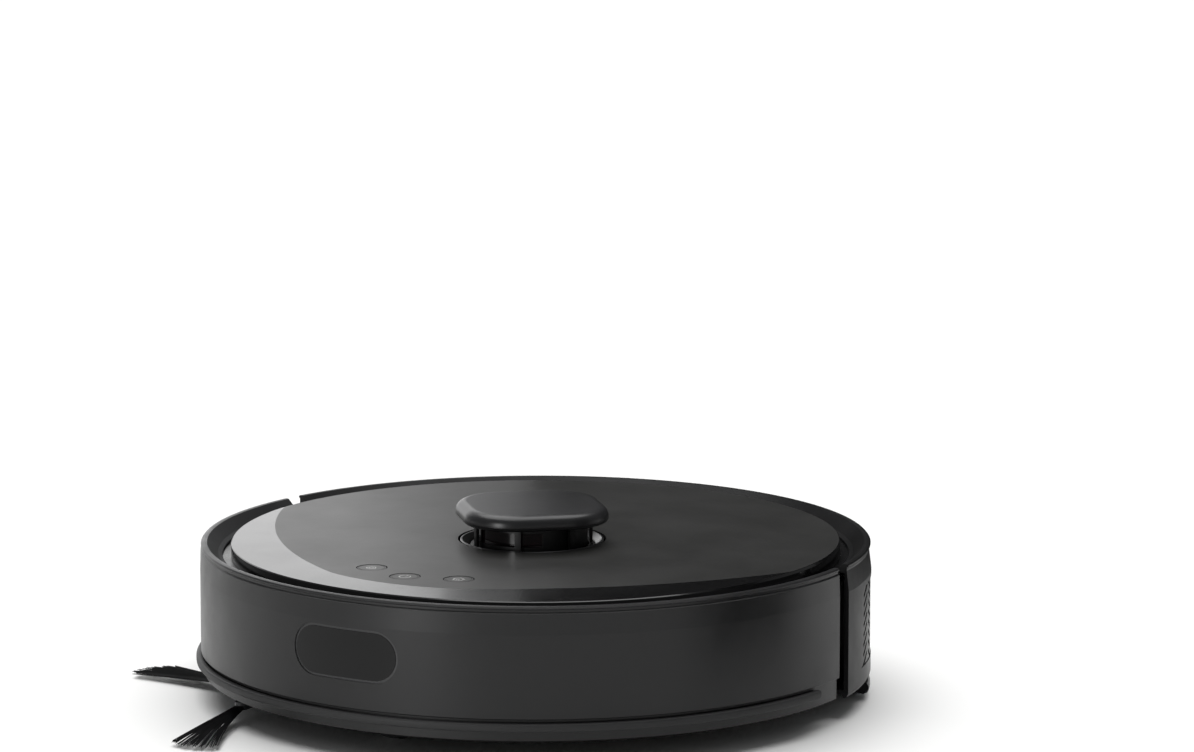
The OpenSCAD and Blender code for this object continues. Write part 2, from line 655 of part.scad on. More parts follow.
module drive_tyre() difference() {
    translate([0, 0, wheel_r]) rotate([0, 90, 0]) rotate_extrude() translate([0, tyre_x0])
        polygon([[hub_r, 0], [wheel_r - 3, 0], [wheel_r - 1, 1], [wheel_r - 0.2, 3],
            [wheel_r, tyre_w / 2], [wheel_r - 0.2, tyre_w - 3], [wheel_r - 1, tyre_w - 1],
            [wheel_r - 3, tyre_w], [hub_r, tyre_w]]);
    for (a = [15:30:345]) translate([tyre_x0 - 1, 0, wheel_r]) rotate([a, 0, 0])
        block([0, -1.6, wheel_r - 2.4], [tyre_w + 2, 1.6, wheel_r + 2]);
}
module drive_arm_left() color("#3a3a3b") drive_arm();
module drive_hub_left() color("#5b5c5e") drive_hub();
module drive_tyre_left() color("#161616") drive_tyre();
module drive_arm_right() color("#3a3a3b") mirror([1, 0, 0]) drive_arm();
module drive_hub_right() color("#5b5c5e") mirror([1, 0, 0]) drive_hub();
module drive_tyre_right() color("#161616") mirror([1, 0, 0]) drive_tyre();

module pivot_pins() color("#c4c6c9") for (s = [0, 1]) mirror([s, 0, 0])
    translate([0, pivot_y, pivot_z]) bar_x(pivot_r, well_x0 - shell + 0.2, well_x1 + shell - 0.2);

module suspension_springs() color("#b8b8ba") for (s = [0, 1]) mirror([s, 0, 0])
    translate([arm_x0 + arm_t + 7, pivot_y, pivot_z]) rotate([0, 90, 0])
        coil(pivot_r + 1.4, 0.7, 6, well_x1 - arm_x0 - arm_t - 7.3);

module main_brush() color("#2e3236") translate([0, brush_y, brush_z])
    difference() {
        union() {
            bar_x(core_r, brush_x0, brush_x0 + brush_len);
            for (i = [0:5]) rotate([i * 60, 0, 0]) translate([brush_x0 + 2, 0, 0])
                block([0, -1, core_r - 1], [brush_len - 4, 1, brush_r]);
        }
        for (x = guard_ribs) difference() {
            bar_x(brush_r + 1, x - 1.8, x + 1.8);
            bar_x(core_r, x - 2, x + 2);
        }
        bar_x(spindle_r + running, brush_x0 - 1, brush_x0 + 12);
        bar_x(spindle_r + running, brush_x0 + brush_len - 12, brush_x0 + brush_len + 1);
    }

module brush_bearing() color("#c9c5b8") translate([0, brush_y, brush_z]) {
    block([bay_x0 + 0.1, -9, -9], [brush_x0 - 0.6, 9, bay_top - brush_z - 0.1]);
    bar_x(spindle_r, brush_x0 - 1, brush_x0 + 10);
}

module brush_gearbox() color("#4d4f52") {
    x0 = bay_x1 + shell + 0.2;
    x1 = well_x0 - shell - 0.2;
    along_x(x0, x1) translate([-40, floor_top]) square([66, 30]);
    translate([0, -26, 28]) bar_x(12, 34, x0 + 1);
    translate([0, brush_y, brush_z]) bar_x(spindle_r, brush_x0 + brush_len - 10, x0 + 1);
}

module brush_guard() color("#3c3d3f") {
    y0 = brush_y - bay_half - 6;
    y1 = brush_y + bay_half + 6;
    difference() {
        block([guard_x0 - 5, y0, guard_z], [guard_x1 + 5, y1, under_z - 0.1]);
        block([guard_x0 + 7, brush_y - bay_half + 5, -1],
            [guard_x1 - 3, brush_y + bay_half - 5, under_z + 1]);
        for (x = latch_places) block([x - 6.4, brush_y + bay_half - 2, -1],
            [x + 6.4, y1 + 1, under_z]);
    }
    for (x = guard_ribs) block([x - 1, brush_y - bay_half + 4, guard_z],
        [x + 1, brush_y + bay_half - 4, guard_z + 1.0]);
}

module guard_latches() color("#c8763a") {
    for (x = latch_places) block([x - 6, brush_y + bay_half + 0.8, guard_z + 0.2],
        [x + 6, brush_y + bay_half + 5.2, under_z + 2]);
}

// The side brush's three clips, clear of the underside
module side_clips() translate([0, 0, under_z - 4.6]) for (a = side_arms) rotate([0, 0, a])
    linear_extrude(3.8) link([0, 0], 6.5, [31, 0], 3.2);

module side_brush() color("#2a2b2d") translate([side_x, side_y, 0]) {
    difference() {
        union() {
            translate([0, 0, 5.6]) cylinder(r = side_hub_r, h = under_z - 5.6 + 1.6);
            side_clips();
        }
        translate([0, 0, under_z - 2]) cylinder(r = 2.5 + running, h = 10);
    }
    translate([0, 0, 5]) cylinder(r = 3.2, h = 0.8);
}

// One tuft: a thin fan that droops towards the floor and curves a little
module tuft() {
    n = 6;
    fan = function(t) 2.4 + 12.6 * pow(t, 1.4);
    mid = function(t) [28 + (side_reach - 28) * t, (side_reach - 28) * tan(side_sweep) * t * t,
        7.2 - 4.8 * pow(t, 0.7)];
    pts = [for (i = [0:n]) let (t = i / n, c = mid(t), w = fan(t), h = 1.3 - 0.6 * t)
        each [c + [0, -w, -h], c + [0, w, -h], c + [0, w, h], c + [0, -w, h]]];
    skin = [for (i = [0:n - 1], j = [0:3]) let (k = (j + 1) % 4)
        [4 * i + j, 4 * i + k, 4 * i + 4 + k, 4 * i + 4 + j]];
    polyhedron(pts, concat([for (f = skin) [f[3], f[2], f[1], f[0]]],
        [[0, 1, 2, 3], [4 * n + 3, 4 * n + 2, 4 * n + 1, 4 * n]]));
}
module side_bristles() color("#1b1b1b") translate([side_x, side_y, 0])
    difference() {
        for (a = side_arms) rotate([0, 0, a]) tuft();
        side_clips();
    }

module side_gearbox() color("#4d4f52") translate([side_x, side_y, 0]) {
    translate([0, 0, under_z + 6.4]) cylinder(r = 15, h = 16);
    translate([0, 0, under_z + 22.4]) cylinder(r = 10, h = 16);
    translate([0, 0, under_z - 1]) cylinder(r = 2.5, h = 8);
}

module suction_duct() color("#232324")
    difference() {
        block([-inlet_w / 2 - 3, brush_y + bay_half + shell, inlet_z0 - 3],
            [inlet_w / 2 + 3, bin_y - slide_gap - shell, inlet_z1 + 3]);
        block([-inlet_w / 2, brush_y + bay_half, inlet_z0], [inlet_w / 2, bin_y, inlet_z1]);
    }

module dust_bin() color("#5c5e60", 0.8)
    difference() {
        block([-tank_w / 2, bin_y, tank_z], [tank_w / 2, tank_y, tank_top]);
        block([-tank_w / 2 + bin_wall, bin_y + bin_wall, tank_z + bin_wall],
            [tank_w / 2 - bin_wall, tank_y - bin_wall, tank_top - bin_wall]);
        block([-inlet_w / 2, bin_y - 1, inlet_z0], [inlet_w / 2, bin_y + bin_wall + 1, inlet_z1]);
        block([-outlet_w / 2 + 2, bin_y + 8, tank_top - bin_wall - 1],
            [outlet_w / 2 - 2, tank_y - 8, tank_top + 1]);
        block([tank_w / 2 - bin_wall - 1, fan_y - 16, tank_z + 5],
            [tank_w / 2 + 1, fan_y + 16, tank_top - 3]);
    }

module bin_filter() color("#d9d6cc")
    for (i = [0:7]) block([tank_w / 2 - 7, fan_y - 16 + i * 4, tank_z + 5],
        [tank_w / 2, fan_y - 12.6 + i * 4, tank_top - 3]);

module outlet_duct() color("#232324")
    difference() {
        block([-outlet_w / 2, bin_y + 6, shelf_z], [outlet_w / 2, outlet_y, outlet_z1]);
        block([-outlet_w / 2 + 2, bin_y + 8, outlet_z0 + 2], [outlet_w / 2 - 2, body_r, outlet_z1 - 2]);
        block([-outlet_w / 2 + 2, bin_y + 8, shelf_z - 1], [outlet_w / 2 - 2, tank_y - 8, outlet_z0 + 3]);
    }

module outlet_flap() color("#3a3a3b") {
    block([-outlet_w / 2 + 0.4, outlet_y + 0.6, outlet_z0 + 0.4],
        [outlet_w / 2 - 0.4, outlet_y + 2.8, outlet_z1 - 0.6]);
    translate([0, outlet_y + 1.7, outlet_z1 - 1.6])
        bar_x(1.3, -outlet_w / 2 + 0.4, outlet_w / 2 - 0.4);
}

module fan_housing() color("#e0ddd4") translate([fan_x, fan_y, fan_z])
    difference() {
        union() {
            bar_x(fan_r, 0, fan_t);
            block([0, 0, fan_r - 14], [fan_t, 38, fan_r]);
            for (y = [-14, 14]) block([4, y - 3, floor_top - fan_z], [fan_t - 4, y + 3, -fan_r + 8]);
        }
        bar_x(fan_r - 2, 2, fan_t - 2);
        bar_x(fan_eye, -1, 3);
        block([2, 0, fan_r - 12], [fan_t - 2, 39, fan_r - 2]);
    }

module fan_impeller() color("#3b3c3e") translate([fan_x, fan_y, fan_z]) {
    bar_x(fan_r - 4, 12, 13.6);
    bar_x(5, 3.6, 13.6);
    bar_x(11, 13.5, 24);
    for (i = [0:8]) rotate([i * 40, 0, 0]) block([4, -0.6, 4.4], [12.2, 0.6, fan_r - 5]);
}

// The tank's outline from above: straight sides and the body's own round at the back
module tank_plan(inset)
    intersection() {
        translate([-tank_w / 2 + inset, tank_y + inset]) square([tank_w - 2 * inset, body_r]);
        circle(body_r - 0.4 - inset, $fn = 180);
    }
module water_tank() color("#2f3032")
    difference() {
        union() {
            translate([0, 0, tank_z]) linear_extrude(tank_h) tank_plan(0);
            translate([0, 0, tank_z - 2.2]) linear_extrude(3) intersection() {
                translate([-60, tank_y + 4]) square([120, 60]);
                circle(body_r - 8);
            }
        }
        translate([0, 0, tank_z + 2]) linear_extrude(tank_h - 4) tank_plan(2);
        translate([plug_x, plug_y, tank_top - 5]) cylinder(r = plug_r, h = 10);
        translate([0, body_r - 8, tank_z + 18]) cube([26.6, 30, 10.6], center = true);
    }

module tank_plug() color("#8c8e92") translate([plug_x, plug_y, 0]) {
    translate([0, 0, tank_top - 2]) cylinder(r = plug_r - 0.02, h = 2.2);
    translate([0, 0, tank_top - 3.4]) cylinder(r = plug_r - 1, h = 1.5);
}

module tank_button() color("#3c3d3f")
    intersection() {
        block([-12.7, body_r - 12, tank_z + 13.3], [12.7, body_r, tank_z + 22.7]);
        cylinder(r = body_r - 0.9, h = 100, $fn = 180);
    }

// The mop plate's outline from above: a straight front edge and the body's round
module mop_plan(inset)
    intersection() {
        translate([-body_r, mop_front + inset]) square([body_d, body_r]);
        circle(body_r - inset, $fn = 180);
    }
module mop_plate() color("#2c2c2e")
    intersection() {
        rotate_extrude($fn = 180) polygon([[0, 3], [body_r - 3, 3], [body_r - 1, 4],
            [body_r - 0.2, 5.6], [body_r - 0.2, 7], [body_r - 1.2, 8.6], [body_r - 3, mop_top],
            [0, mop_top]]);
        linear_extrude(20) mop_plan(0);
    }
module mop_pad() color("#b9bcc0")
    translate([0, 0, 0.4]) linear_extrude(2.6) mop_plan(4);

module case_screws() color("#9a9ca0")
    for (p = screw_places) translate([p.x, p.y, under_z]) {
        translate([0, 0, 0.6]) cylinder(r = 2.8, h = 1.4);
        translate([0, 0, 1.9]) cylinder(r = 1.4, h = 11);
    }

chassis();
front_bumper();
bumper_strip();
window_bezel();
sensor_window();
obstacle_sensor();
bumper_springs();
micro_switches();
rear_casing();
vent_grilles();
top_deck();
top_cover();
button_spot();
button_power();
button_dock();
lidar_ring();
lidar_cage();
lidar_cap();
lidar_rotor();
lidar_lens();
lidar_motor();
lidar_pulley();
lidar_belt();
main_board();
battery_pack();
battery_door();
caster_fork();
caster_axle();
caster_wheel();
drive_arm_left();
drive_hub_left();
drive_tyre_left();
drive_arm_right();
drive_hub_right();
drive_tyre_right();
pivot_pins();
suspension_springs();
main_brush();
brush_bearing();
brush_gearbox();
brush_guard();
guard_latches();
side_brush();
side_bristles();
side_gearbox();
cliff_windows();
suction_duct();
dust_bin();
bin_filter();
outlet_duct();
outlet_flap();
fan_housing();
fan_impeller();
water_tank();
tank_plug();
tank_button();
mop_plate();
mop_pad();
charge_contacts();
case_screws();
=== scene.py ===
import bpy, math, random
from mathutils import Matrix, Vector


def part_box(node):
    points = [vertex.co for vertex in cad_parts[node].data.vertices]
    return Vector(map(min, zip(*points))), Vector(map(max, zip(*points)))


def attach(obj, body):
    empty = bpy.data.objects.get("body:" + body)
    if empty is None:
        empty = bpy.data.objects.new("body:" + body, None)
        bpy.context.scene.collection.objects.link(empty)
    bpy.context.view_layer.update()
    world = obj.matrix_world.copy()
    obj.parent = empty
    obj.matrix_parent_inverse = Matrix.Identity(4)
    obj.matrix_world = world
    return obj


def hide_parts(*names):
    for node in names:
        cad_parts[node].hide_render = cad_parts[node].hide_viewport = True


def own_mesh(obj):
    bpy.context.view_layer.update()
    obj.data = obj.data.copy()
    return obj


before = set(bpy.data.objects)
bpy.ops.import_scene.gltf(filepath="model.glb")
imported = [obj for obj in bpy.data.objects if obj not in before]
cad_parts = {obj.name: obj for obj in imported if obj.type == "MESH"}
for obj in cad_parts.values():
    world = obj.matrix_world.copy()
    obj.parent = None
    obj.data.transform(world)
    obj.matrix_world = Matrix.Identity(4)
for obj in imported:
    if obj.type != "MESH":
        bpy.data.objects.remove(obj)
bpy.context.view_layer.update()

print("frame loaded")

mm = 0.001


def deselectAll():
    if bpy.context.object and bpy.context.object.mode != "OBJECT":
        bpy.ops.object.mode_set(mode="OBJECT")
    bpy.ops.object.select_all(action="DESELECT")


def only(piece):
    deselectAll()
    piece.select_set(True)
    bpy.context.view_layer.objects.active = piece


def editAll(piece, kind):
    # edit mode with every vertex, edge or face picked
    only(piece)
    bpy.ops.object.mode_set(mode="EDIT")
    bpy.ops.mesh.select_mode(type=kind)
    bpy.ops.mesh.select_all(action="SELECT")


def pickEdges(piece, test):
    # edit mode with just the edges picked whose two ends pass the test
    only(piece)
    bpy.ops.object.mode_set(mode="EDIT")
    bpy.ops.mesh.select_mode(type="EDGE")
    bpy.ops.mesh.select_all(action="DESELECT")
    bpy.ops.object.mode_set(mode="OBJECT")
    points = piece.data.vertices
    for edge in piece.data.edges:
        edge.select = bool(test(points[edge.vertices[0]].co, points[edge.vertices[1]].co))
    bpy.ops.object.mode_set(mode="EDIT")


def bevelEdges(piece, test, width, segments, **settings):
    pickEdges(piece, test)
    bpy.ops.mesh.bevel(offset=width * mm, segments=segments, affect="EDGES", **settings)
    bpy.ops.object.mode_set(mode="OBJECT")


def addModifier(piece, kind, **settings):
    only(piece)
    modifier = piece.modifiers.new(kind.title(), kind)
    for key, value in settings.items():
        setattr(modifier, key, value)
    bpy.ops.object.modifier_apply(modifier=modifier.name)


def placeDown(piece, name):
    # the piece's place goes into its mesh, as a CAD node's does
    piece.name = name
    piece.data.name = name
    only(piece)
    bpy.ops.object.transform_apply(location=True, rotation=True, scale=True)


def smoothBy(piece, degrees=35):
    only(piece)
    bpy.ops.object.shade_smooth_by_angle(angle=math.radians(degrees))


def facesOutward(piece):
    editAll(piece, "VERT")
    bpy.ops.mesh.remove_doubles(threshold=1e-6)
    bpy.ops.mesh.normals_make_consistent(inside=False)
    bpy.ops.object.mode_set(mode="OBJECT")


def joinTo(base, parts):
    deselectAll()
    for part in parts:
        part.select_set(True)
    base.select_set(True)
    bpy.context.view_layer.objects.active = base
    bpy.ops.object.join()


def cutWith(piece, cutters):
    for cutter in cutters:
        addModifier(piece, "BOOLEAN", operation="DIFFERENCE", solver="EXACT", object=cutter)
        bpy.data.objects.remove(cutter)


def roundBar(radius, depth, place, sides=96):
    bpy.ops.mesh.primitive_cylinder_add(vertices=sides, radius=radius, depth=depth, location=place)
    return bpy.context.object


def sheetOf(name, across, along, where):
    # a grid whose points are then moved to the shape, across and along both 0 to 1
    deselectAll()
    bpy.ops.mesh.primitive_grid_add(x_subdivisions=across, y_subdivisions=along, size=1)
    piece = bpy.context.object
    for point in piece.data.vertices:
        point.co = where(point.co.x + 0.5, point.co.y + 0.5)
    piece.name = name
    return piece


def tubeAlong(name, points, radius, closed=False):
    # a round wire through the points, turned into a mesh
    data = bpy.data.curves.new(name, "CURVE")
    data.dimensions = "3D"
    data.bevel_depth = radius
    data.bevel_resolution = 2
    data.use_fill_caps = True
    path = data.splines.new("POLY")
    path.points.add(len(points) - 1)
    for point, place in zip(path.points, points):
        point.co = (*place, 1)
    path.use_cyclic_u = closed
    wire = bpy.data.objects.new(name, data)
    bpy.context.collection.objects.link(wire)
    only(wire)
    bpy.ops.object.convert(target="MESH")
    return bpy.context.object


def finishPiece(piece, body, slot, material, *nodes):
    piece.data.materials.clear()
    for layer in material if isinstance(material, (list, tuple)) else [material]:
        piece.data.materials.append(layer)
    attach(piece, body)
    if nodes:
        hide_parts(*nodes)


# materials

def colour(text):
    parts = [int(text[i:i + 2], 16) / 255 for i in (0, 2, 4)]
    return tuple(c / 12.92 if c <= 0.04045 else ((c + 0.055) / 1.055) ** 2.4 for c in parts) + (1,)


def addNode(tree, kind, settings=None, links=None):
    node = tree.nodes.new(kind)
    for key, value in (settings or {}).items():
        if isinstance(key, int) or key in node.inputs:
            node.inputs[key].default_value = value
        else:
            setattr(node, key, value)
    for key, source in (links or {}).items():
        tree.links.new(source, node.inputs[key])
    return node


def startMaterial(name, **surface):
    material = bpy.data.materials.new(name)
    material.use_nodes = True
    tree = material.node_tree
    shader = tree.nodes["Principled BSDF"]
    for key, value in surface.items():
        shader.inputs[key.replace("_", " ")].default_value = value
    place = addNode(tree, "ShaderNodeTexCoord").outputs["Object"]
    return material, tree, shader, place


def paintBetween(tree, shader, dark, light, share):
    # the base colour runs from dark to light as share goes from 0 to 1
    tone = addNode(tree, "ShaderNodeMix", {"data_type": "RGBA"})
    tone.inputs[6].default_value, tone.inputs[7].default_value = colour(dark), colour(light)
    tree.links.new(share, tone.inputs[0])
    tree.links.new(tone.outputs[2], shader.inputs["Base Color"])
    return tone


def rangeOf(tree, value, **ends):
    settings = {key.replace("_", " "): end for key, end in ends.items()}
    return addNode(tree, "ShaderNodeMapRange", settings, {"Value": value}).outputs["Result"]


def bumpFrom(tree, shader, height, strength, depth):
    # depth is in millimetres
    bump = addNode(tree, "ShaderNodeBump", {"Strength": strength, "Distance": depth * mm}, {"Height": height})
    tree.links.new(bump.outputs["Normal"], shader.inputs["Normal"])


def mouldedPlastic(name, dark, light, roughness, grain, depth, spread=0.08, handled=18, **surface):
    # spark-eroded mould texture as fine bump, and the softer patches that hands and wiping leave
    material, tree, shader, place = startMaterial(name, **{"IOR": 1.46, **surface})
    texture = addNode(tree, "ShaderNodeTexNoise", {"Scale": 1000 / grain, "Detail": 3.0}, {"Vector": place})
    patches = addNode(tree, "ShaderNodeTexNoise", {"Scale": float(handled), "Detail": 5.0, "Roughness": 0.62},
                      {"Vector": place}).outputs["Fac"]
    paintBetween(tree, shader, dark, light, rangeOf(tree, patches, From_Min=0.35, From_Max=0.7))
    rough = rangeOf(tree, patches, From_Min=0.3, From_Max=0.7, To_Min=roughness - spread,
                    To_Max=roughness + spread)
    tree.links.new(rough, shader.inputs["Roughness"])
    bumpFrom(tree, shader, texture.outputs["Fac"], 0.5, depth)
    return material


# charcoal ABS, moulded with a fine eroded texture of about 0.45 mm: a soft broad sheen
charcoalAbs = mouldedPlastic("CharcoalAbs", "1a1a1b", "202021", 0.36, 0.45, 0.02, IOR=1.40)
# the rear casing and its grilles, a shade darker and duller than the bumper
casingAbs = mouldedPlastic("CasingAbs", "121213", "161617", 0.40, 0.45, 0.02, IOR=1.28)
# the same ABS on the cover, blasted finer and flatter, so it reads as even warm grey
blastedCoverAbs = mouldedPlastic("BlastedCoverAbs", "1f1f1e", "252524", 0.38, 0.3, 0.012, 0.03)
# high-gloss ABS from a polished mould, on the cover's crescent and down in the moat
pianoBlackAbs = mouldedPlastic("PianoBlackAbs", "0a0a0b", "0d0d0e", 0.20, 6.0, 0.003, 0.03,
                               Coat_Weight=0.15, Coat_Roughness=0.08)
moatAbs = mouldedPlastic("MoatAbs", "080809", "0c0c0d", 0.26, 0.6, 0.01, 0.05, IOR=1.4)
# satin black ABS on the turret
turretAbs = mouldedPlastic("TurretAbs", "101011", "161617", 0.34, 0.4, 0.01, 0.05)
capAbs = mouldedPlastic("CapAbs", "222223", "28282a", 0.33, 0.35, 0.012, 0.03)
ringAbs = mouldedPlastic("RingAbs", "4a4a4b", "565657", 0.30, 0.3, 0.006, 0.04, Metallic=0.35)
# chassis tray, left rougher from its mould because it is not seen
trayAbs = mouldedPlastic("TrayAbs", "1a1a1b", "222223", 0.52, 0.8, 0.04)
# smoked acrylic that the infrared sensors look through
smokedAcrylic = mouldedPlastic("SmokedAcrylic", "040405", "070708", 0.16, 8.0, 0.002, 0.02, IOR=1.34)
laserWindow = mouldedPlastic("LaserWindow", "14060a", "1c090e", 0.09, 8.0, 0.002, 0.02,
                             Coat_Weight=0.5, Coat_Roughness=0.03)
cliffWindow = mouldedPlastic("CliffWindow", "220a0e", "2c0f14", 0.10, 8.0, 0.002, 0.02,
                             Coat_Weight=0.4, Coat_Roughness=0.03)
# a lighter line round the sensor window
bezelAbs = mouldedPlastic("BezelAbs", "303031", "38383a", 0.34, 0.4, 0.006, 0.04)
# over-moulded soft TPU, slightly dusty
stripTpu = mouldedPlastic("StripTpu", "1d1d1e", "29292a", 0.56, 0.7, 0.03)
# black tyre rubber with dust in its grain
tyreRubber = mouldedPlastic("TyreRubber", "141414", "222221", 0.68, 0.9, 0.05, 0.1, 40)
bladeRubber = mouldedPlastic("BladeRubber", "1f2226", "2a2d31", 0.55, 0.9, 0.03, 0.08, 40)
beltRubber = mouldedPlastic("BeltRubber", "101010", "191919", 0.6, 0.6, 0.03)
plugSilicone = mouldedPlastic("PlugSilicone", "74777c", "82858a", 0.5, 0.8, 0.02, 0.06,
                              Subsurface_Weight=0.05)
# unpainted acetal, slippery and a little waxy
greyAcetal = mouldedPlastic("GreyAcetal", "3c3d3f", "48494b", 0.42, 0.8, 0.02)
whiteNylon = mouldedPlastic("WhiteNylon", "cfccc2", "dedbd2", 0.5, 0.8, 0.02, 0.08, 25)
orangeAcetal = mouldedPlastic("OrangeAcetal", "b5642a", "c4713a", 0.42, 0.8, 0.02)
ductAbs = mouldedPlastic("DuctAbs", "1e1e1f", "272728", 0.48, 0.7, 0.03)
impellerPps = mouldedPlastic("ImpellerPps", "2f3032", "3a3b3d", 0.4, 0.6, 0.02)
nylonBristle = mouldedPlastic("NylonBristle", "131314", "1e1e20", 0.42, 0.5, 0.01, 0.06, 60)
padInk = mouldedPlastic("PadInk", "c6c6c4", "d4d4d2", 0.5, 0.4, 0.004)
# tinted polycarbonate of the dust bin: clear enough to see its walls
smokedPolycarbonate = mouldedPlastic("SmokedPolycarbonate", "55585b", "5e6164", 0.12, 6.0, 0.004, 0.04,
                                     Transmission_Weight=0.55)


def brushedMetal(name, dark, light, roughness, streak):
    # turned or drawn metal: long fine streaks that stretch along X
    material, tree, shader, place = startMaterial(name, Metallic=1.0)
    turned = addNode(tree, "ShaderNodeMapping", {"Scale": (40.0, 1000 / streak, 1000 / streak)},
                     {"Vector": place})
    streaks = addNode(tree, "ShaderNodeTexNoise", {"Scale": 1.0, "Detail": 4.0},
                      {"Vector": turned.outputs["Vector"]}).outputs["Fac"]
    paintBetween(tree, shader, dark, light, streaks)
    rough = rangeOf(tree, streaks, To_Min=roughness - 0.08, To_Max=roughness + 0.1)
    tree.links.new(rough, shader.inputs["Roughness"])
    bumpFrom(tree, shader, streaks, 0.3, 0.01)
    return material


zincSteel = brushedMetal("ZincSteel", "a9abae", "c6c8cb", 0.28, 0.3)
springSteel = brushedMetal("SpringSteel", "8e9093", "b0b2b5", 0.32, 0.4)
platedContact = brushedMetal("PlatedContact", "b99a62", "d2b57c", 0.26, 0.25)


def circuitBoard():
    # green solder mask over fine copper tracks, 1.6 mm apart, with tinned pads
    material, tree, shader, place = startMaterial("CircuitBoard", IOR=1.5, Roughness=0.32, Coat_Weight=0.3)
    tracks = addNode(tree, "ShaderNodeTexBrick", {
        "Color1": colour("1c5131"), "Color2": colour("215c38"), "Mortar": colour("2e7447"), "Scale": 1.0,
        "Brick Width": 0.009, "Row Height": 0.0016, "Mortar Size": 0.0003}, {"Vector": place})
    pads = addNode(tree, "ShaderNodeTexVoronoi", {"Scale": 160.0}, {"Vector": place})
    spots = rangeOf(tree, pads.outputs["Distance"], From_Min=0.16, From_Max=0.2, To_Min=1.0, To_Max=0.0)
    tone = paintBetween(tree, shader, "1c5131", "b9b7ae", spots)
    tree.links.new(tracks.outputs["Color"], tone.inputs[6])
    bumpFrom(tree, shader, tracks.outputs["Fac"], 0.4, 0.05)
    return material


boardLaminate = circuitBoard()
# blue PVC film shrunk over the cells, so it wrinkles a little
shrinkFilm = mouldedPlastic("ShrinkFilm", "24357c", "2b3e8c", 0.26, 9.0, 0.25, 0.06, 30, Coat_Weight=0.2)


def microfibre():
    # cut-pile microfibre: short loops about 0.9 mm across with darker gaps, in woven stripes
    material, tree, shader, place = startMaterial("Microfibre", IOR=1.5, Roughness=0.95, Sheen_Weight=0.5,
                                                  Sheen_Roughness=0.5)
    loops = addNode(tree, "ShaderNodeTexVoronoi", {"Scale": 1100.0, "Randomness": 0.9}, {"Vector": place})
    wave = addNode(tree, "ShaderNodeTexWave", {"Scale": 26.0, "Distortion": 1.2, "Detail": 2.0,
                                               "Detail Scale": 4.0}, {"Vector": place})
    stripes = addNode(tree, "ShaderNodeMath", {"operation": "MULTIPLY_ADD", 1: 0.35, 2: 0.3},
                      {0: wave.outputs["Fac"]})
    paintBetween(tree, shader, "8f9398", "c3c6ca", stripes.outputs[0])
    bumpFrom(tree, shader, loops.outputs["Distance"], 0.9, 0.5)
    return material


microfibreCloth = microfibre()


def pleatedPaper():
    # folded filter paper, its fibres showing as a soft mottle
    material, tree, shader, place = startMaterial("PleatedPaper", IOR=1.45, Roughness=0.9)
    fibres = addNode(tree, "ShaderNodeTexNoise", {"Scale": 900.0, "Detail": 6.0, "Roughness": 0.7},
                     {"Vector": place}).outputs["Fac"]
    paintBetween(tree, shader, "c9c5b9", "e2dfd6", fibres)
    bumpFrom(tree, shader, fibres, 0.6, 0.1)
    return material


filterPaper = pleatedPaper()

finishes = {
    charcoalAbs: ["front_bumper", "water_tank", "mop_plate", "tank_button", "outlet_flap", "brush_guard",
                  "battery_door"],
    casingAbs: ["rear_casing", "vent_grilles"],
    trayAbs: ["chassis"],
    moatAbs: ["top_deck"],
    blastedCoverAbs: ["button_spot", "button_power", "button_dock"],
    turretAbs: ["lidar_cage", "lidar_rotor"],
    ringAbs: ["lidar_ring"],
    laserWindow: ["lidar_lens"],
    smokedAcrylic: ["sensor_window"],
    bezelAbs: ["window_bezel"],
    cliffWindow: ["cliff_windows"],
    beltRubber: ["lidar_belt"],
    plugSilicone: ["tank_plug"],
    greyAcetal: ["drive_hub_left", "drive_hub_right", "drive_arm_left", "drive_arm_right", "brush_gearbox",
                 "side_gearbox", "caster_fork", "caster_wheel", "side_brush"],
    whiteNylon: ["fan_housing", "brush_bearing", "lidar_pulley"],
    orangeAcetal: ["guard_latches"],
    ductAbs: ["suction_duct", "outlet_duct", "micro_switches"],
    impellerPps: ["fan_impeller"],
    smokedPolycarbonate: ["dust_bin"],
    zincSteel: ["pivot_pins", "caster_axle", "case_screws", "lidar_motor"],
    springSteel: ["bumper_springs", "suspension_springs"],
    platedContact: ["charge_contacts"],
    boardLaminate: ["main_board", "obstacle_sensor"],
    shrinkFilm: ["battery_pack"],
    filterPaper: ["bin_filter"],
}
for finish, names in finishes.items():
    for name in names:
        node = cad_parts[name]
        node.data.materials.clear()
        node.data.materials.append(finish)
print("materials made")

# top cover: flat matt field, glossy crescent that falls away from a crease, and the skirt in the moat
cover = {"radius": 154.2, "matt": 79.7, "edgeDrop": 1.4, "skirt": 72.1, "wall": 2.0, "crease": 0.35,
         "turretHole": 37.5, "buttonHole": 7.75, "sideArc": (91.0, 109.7, 270.0), "noseArc": (-30.0, 105.0),
         "shoulder": -101.8, "leastCrescent": 0.7, "rimBand": 0.5, "slopeBand": 4.0, "fullSlope": 28.0,
         "leastSlope": 0.12, "rimRise": 0.25, "cutter": 30.0}
# millimetres in from the rim that tell the rings of vertices apart, and radii that tell creases
# and the turret hole's wall from the rest
ringTest = {"rim": 0.2, "slope": 3.0, "crease": 4.0, "creaseFrom": 100.0, "turretWall": 60.0}


